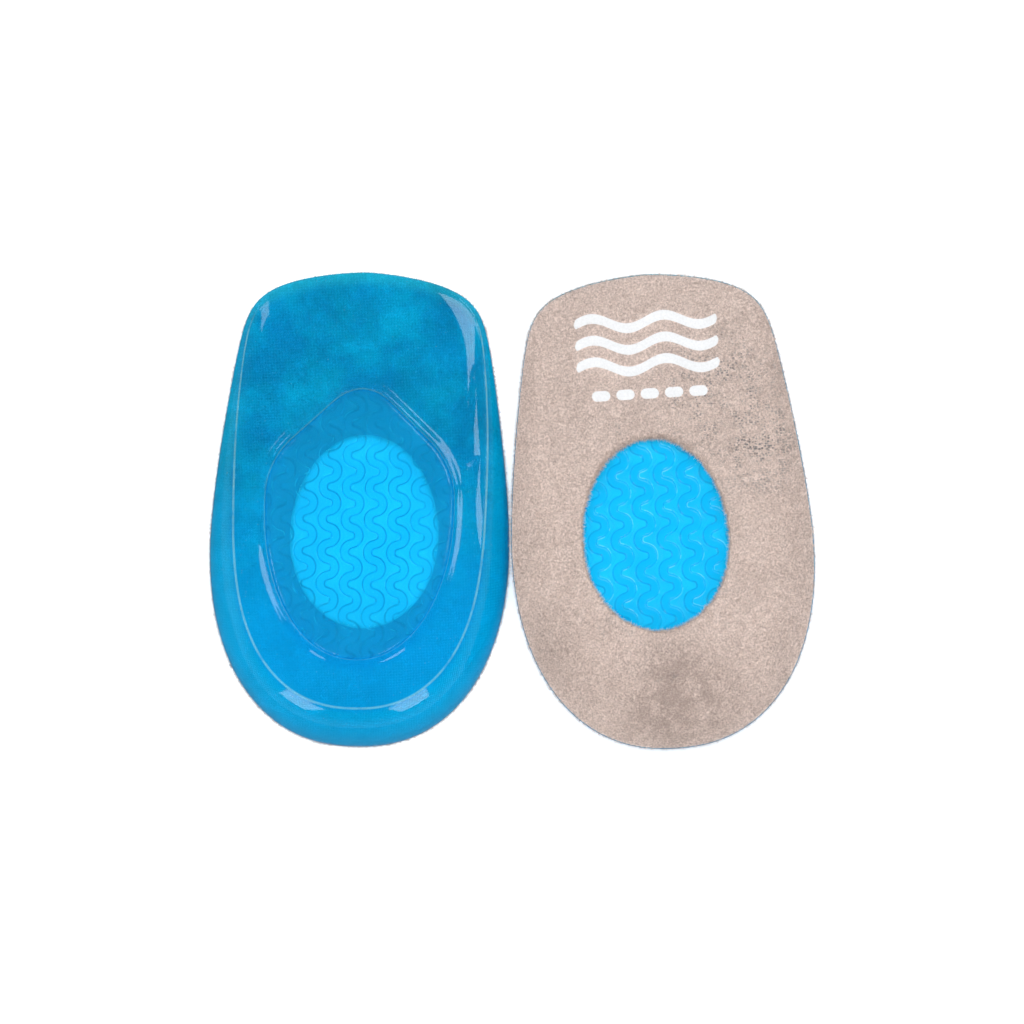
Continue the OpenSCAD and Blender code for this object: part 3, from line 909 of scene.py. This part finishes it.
def fibre_tree():
    """Scatters short straight fibres over the faces that have a nap, clear of the print."""
    tree = bpy.data.node_groups.new("Scatter fibres", "GeometryNodeTree")
    face = tree.interface
    face.new_socket("Geometry", in_out="INPUT", socket_type="NodeSocketGeometry")
    for label, value in (("Density", 1e7), ("Length", 0.0009), ("Thickness", 0.00004),
                         ("Least tilt", 0.7), ("Most tilt", 1.45)):
        face.new_socket(label, in_out="INPUT", socket_type="NodeSocketFloat").default_value = value
    face.new_socket("Seed", in_out="INPUT", socket_type="NodeSocketInt")
    face.new_socket("Where", in_out="INPUT", socket_type="NodeSocketString")
    face.new_socket("Kept clear", in_out="INPUT", socket_type="NodeSocketObject")
    face.new_socket("Finish", in_out="INPUT", socket_type="NodeSocketMaterial")
    face.new_socket("Geometry", in_out="OUTPUT", socket_type="NodeSocketGeometry")
    given, result = tree.nodes.new("NodeGroupInput"), tree.nodes.new("NodeGroupOutput")
    link = tree.links.new

    napped = node(tree, "GeometryNodeInputNamedAttribute", data_type="FLOAT")
    link(given.outputs["Where"], napped.inputs["Name"])
    chosen = node(tree, "FunctionNodeCompare", data_type="FLOAT", operation="GREATER_THAN")
    link(napped.outputs["Attribute"], chosen.inputs[0])
    chosen.inputs[1].default_value = NAPPED_FROM
    scatter = node(tree, "GeometryNodeDistributePointsOnFaces", distribute_method="RANDOM")
    link(given.outputs["Geometry"], scatter.inputs["Mesh"])
    link(chosen.outputs[0], scatter.inputs["Selection"])
    link(given.outputs["Density"], scatter.inputs["Density"])
    link(given.outputs["Seed"], scatter.inputs["Seed"])

    clear = tree.nodes.new("GeometryNodeObjectInfo")
    link(given.outputs["Kept clear"], clear.inputs["Object"])
    near = node(tree, "GeometryNodeProximity", target_element="FACES")
    link(clear.outputs["Geometry"], near.inputs[0])
    close = node(tree, "FunctionNodeCompare", data_type="FLOAT", operation="LESS_THAN")
    link(near.outputs["Distance"], close.inputs[0])
    close.inputs[1].default_value = PRINT_CLEARANCE
    thin = tree.nodes.new("GeometryNodeDeleteGeometry")
    link(scatter.outputs["Points"], thin.inputs["Geometry"])
    link(close.outputs[0], thin.inputs["Selection"])

    spike = node(tree, "GeometryNodeMeshCone", fill_type="NGON")
    spike.inputs["Vertices"].default_value = 3
    spike.inputs["Side Segments"].default_value = 1
    link(given.outputs["Length"], spike.inputs["Depth"])
    link(given.outputs["Thickness"], spike.inputs["Radius Bottom"])

    spin = node(tree, "FunctionNodeRandomValue", data_type="FLOAT")
    spin.inputs[3].default_value = 2 * math.pi
    tilt = node(tree, "FunctionNodeRandomValue", data_type="FLOAT")
    link(given.outputs["Least tilt"], tilt.inputs[2])
    link(given.outputs["Most tilt"], tilt.inputs[3])
    size = node(tree, "FunctionNodeRandomValue", data_type="FLOAT")
    size.inputs[2].default_value, size.inputs[3].default_value = FIBRE_SIZES
    shade = node(tree, "FunctionNodeRandomValue", data_type="FLOAT")
    for offset, random in enumerate((spin, tilt, size, shade)):
        random.inputs["Seed"].default_value = 10 + offset
    euler = tree.nodes.new("ShaderNodeCombineXYZ")
    link(tilt.outputs[1], euler.inputs["X"])
    link(spin.outputs[1], euler.inputs["Z"])
    to_turn = tree.nodes.new("FunctionNodeEulerToRotation")
    link(euler.outputs[0], to_turn.inputs[0])
    turn = node(tree, "FunctionNodeRotateRotation", rotation_space="LOCAL")
    link(scatter.outputs["Rotation"], turn.inputs["Rotation"])
    link(to_turn.outputs[0], turn.inputs["Rotate By"])

    grow = tree.nodes.new("GeometryNodeInstanceOnPoints")
    link(thin.outputs["Geometry"], grow.inputs["Points"])
    link(spike.outputs["Mesh"], grow.inputs["Instance"])
    link(turn.outputs[0], grow.inputs["Rotation"])
    link(size.outputs[1], grow.inputs["Scale"])
    keep = node(tree, "GeometryNodeStoreNamedAttribute", data_type="FLOAT", domain="INSTANCE")
    keep.inputs["Name"].default_value = "shade"
    link(grow.outputs["Instances"], keep.inputs["Geometry"])
    link(shade.outputs[1], keep.inputs["Value"])
    real = tree.nodes.new("GeometryNodeRealizeInstances")
    link(keep.outputs[0], real.inputs["Geometry"])
    paint = tree.nodes.new("GeometryNodeSetMaterial")
    link(real.outputs[0], paint.inputs["Geometry"])
    link(given.outputs["Finish"], paint.inputs["Material"])
    link(paint.outputs[0], result.inputs["Geometry"])
    return tree


FIBRES = fibre_tree()


def grown(name, base, tree, **values):
    """The plain mesh that a geometry node tree makes from a piece."""
    source = base.copy()
    bpy.context.scene.collection.objects.link(source)
    made = source.modifiers.new("Grow", "NODES")
    made.node_group = tree
    sockets = {i.name: i.identifier for i in tree.interface.items_tree if i.in_out == "INPUT"}
    for key, value in values.items():
        made[sockets[key.replace("_", " ")]] = value
    bpy.context.view_layer.update()
    ready = source.evaluated_get(bpy.context.evaluated_depsgraph_get())
    mesh = bpy.data.meshes.new_from_object(ready)
    mesh.name = name
    source.modifiers.remove(made)
    bpy.data.objects.remove(source)
    piece = bpy.data.objects.new(name, mesh)
    bpy.context.scene.collection.objects.link(piece)
    return piece


# Putting the insoles together ----------------------------------------------------------------

# Where fibres grow, how many to a square metre, their length in metres and their tilts
NAPS = (("nap", 7.0e6, 0.0009, (0.9, 1.5)), ("cut_edge", 3.0e7, 0.0009, (0.1, 1.3)))


def finish(piece, side, part, *more):
    """Paints a piece, lays it on its body and lets it stand for its CAD node."""
    piece.data.materials.clear()
    piece.data.materials.append(FINISH[part])
    for extra in more:
        piece.data.materials.append(extra)
    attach(piece, BODY[side])
    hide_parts(f"{side}_{part}")


def insole(side):
    """One insole's pieces, each with its finish, its body and what it stands for."""
    cup, pad = gel_cup(side), heel_pad(side)
    cover, film, print_film = top_cover(side), adhesive_film(side), printed_mark(side)
    finish(cup, side, "gel_cup")
    finish(pad, side, "heel_pad", PAD_SKIN)
    across = np.zeros(len(pad.data.vertices))
    pad.data.attributes["across"].data.foreach_get("value", across)
    for face in pad.data.polygons:
        face.material_index = int(min(across[v] for v in face.vertices) > SKIN_MARK)
    finish(film, side, "adhesive_film")
    finish(cover, side, "top_cover", KNIT)
    finish(print_film, side, "printed_mark")
    nap = cover.data.attributes["nap"].data
    napped = np.zeros(len(cover.data.vertices))
    nap.foreach_get("value", napped)
    for face in cover.data.polygons:
        face.material_index = int(min(napped[v] for v in face.vertices) < 0.5)
    for where, density, length, tilts in NAPS:
        fibres = grown(f"{side}_{where}_fibres", cover, FIBRES, Density=density, Length=length,
                       Where=where, Thickness=FIBRE_R, Least_tilt=tilts[0], Most_tilt=tilts[1],
                       Seed=FIBRE_SEED, Kept_clear=print_film, Finish=FIBRE)
        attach(fibres, BODY[side])


for name in BODY:
    insole(name)


# Floor, light and camera ------------------------------------------------------------------------

CAMERA_HEIGHT, VIEW_WIDTH, SENSOR_W = 850.0, 236.1, 36.0
CAMERA_X, CAMERA_Y = 0.33, -0.51
FLOOR_HALF, FLOOR_DROP = 3.0, 0.0002
LAMP_RADIANCE, FILL_RADIANCE = 4.4, 2.5


def lamp(name, size, radiance, distance, seen_at, lean, azimuth, turned=0.0):
    """A softbox that faces a spot, in millimetres, and is mirrored there by a leaning surface.

    The lean is in degrees from the turned-over underside, towards the azimuth: 0 is +X, 90 is +Y.
    """
    light = bpy.data.lights.new(name, "AREA")
    light.shape = "RECTANGLE"
    light.size, light.size_y = size
    light.energy = radiance * math.pi * size[0] * size[1]
    spot_at = Vector((seen_at[0], seen_at[1], 0)) * MM
    to_eye = (Vector((CAMERA_X, CAMERA_Y, CAMERA_HEIGHT)) * MM - spot_at).normalized()
    lean, azimuth = math.radians(lean), math.radians(azimuth)
    across, along_y = math.sin(lean) * math.cos(azimuth), math.sin(lean) * math.sin(azimuth)
    up = Matrix.Rotation(-RIM_ANGLE, 3, "X") @ Vector((across, along_y, math.cos(lean)))
    ray = 2 * up.dot(to_eye) * up - to_eye
    turn = Matrix.Rotation(math.atan2(ray.y, ray.x), 4, "Z")
    turn = turn @ Matrix.Rotation(math.acos(ray.z), 4, "Y")
    made = bpy.data.objects.new(name, light)
    away = Matrix.Translation((0, 0, distance)) @ Matrix.Rotation(math.radians(turned), 4, "Z")
    made.matrix_world = Matrix.Translation(spot_at) @ turn @ away
    bpy.context.scene.collection.objects.link(made)
    return made


def stage():
    """The floor, the world, the softboxes, a fill lamp that mirrors skip, and the camera."""
    floor_mesh = bpy.data.meshes.new("floor")
    z = cad_box[0][2] - FLOOR_DROP
    corners = [(x * FLOOR_HALF, y * FLOOR_HALF, z) for x, y in ((-1, -1), (1, -1), (1, 1), (-1, 1))]
    floor_mesh.from_pydata(corners, [], [(0, 1, 2, 3)])
    floor = bpy.data.objects.new("floor", floor_mesh)
    bpy.context.scene.collection.objects.link(floor)
    floor_mesh.materials.append(pale_floor())

    world = bpy.data.worlds.new("Studio")
    bpy.context.scene.world = world
    world.use_nodes = True
    tree = world.node_tree
    back = tree.nodes["Background"]
    sky = tree.nodes.new("ShaderNodeTexCoord")
    part = tree.nodes.new("ShaderNodeSeparateXYZ")
    tree.links.new(sky.outputs["Generated"], part.inputs[0])
    low = window_of(tree, part.outputs["Z"], 0.0, 0.9)
    grey = mix_colour(tree, low, (0.4, 0.42, 0.44), (0.035, 0.035, 0.04))
    tree.links.new(grey, back.inputs["Color"])

    lamp("toe_right_softbox", (0.44, 0.34), LAMP_RADIANCE, 1.15, (-11, 36), 10.5, 24, -45)
    lamp("toe_left_softbox", (0.14, 0.1), 3.4, 1.0, (-58, 43), 9, 147)
    lamp("right_softbox", (0.2, 0.2), LAMP_RADIANCE, 1.0, (-11, -2), 15, -6)
    lamp("left_softbox", (0.26, 0.2), LAMP_RADIANCE, 1.0, (-56, -16), 15, 198)
    lamp("heel_left_softbox", (0.4, 0.26), LAMP_RADIANCE, 1.0, (-48, -44), 21, -118)
    lamp("heel_right_softbox", (0.4, 0.26), LAMP_RADIANCE, 1.0, (-22, -44), 21, -62)
    fill = lamp("overhead_fill", (1.4, 1.4), FILL_RADIANCE, 1.6, (0, 0), 3, 90)
    fill.visible_glossy = False

    camera = bpy.data.cameras.new("camera")
    camera.sensor_width = SENSOR_W
    camera.lens = SENSOR_W * CAMERA_HEIGHT / VIEW_WIDTH
    camera.clip_start = 0.01
    made = bpy.data.objects.new("camera", camera)
    made.location = (CAMERA_X * MM, CAMERA_Y * MM, CAMERA_HEIGHT * MM)
    bpy.context.scene.collection.objects.link(made)
    bpy.context.scene.camera = made


stage()
scene = bpy.context.scene
scene.view_settings.view_transform = "Standard"
scene.cycles.max_bounces = 16
scene.cycles.transparent_max_bounces = 24
scene.cycles.transmission_bounces = 12

bpy.context.view_layer.update()
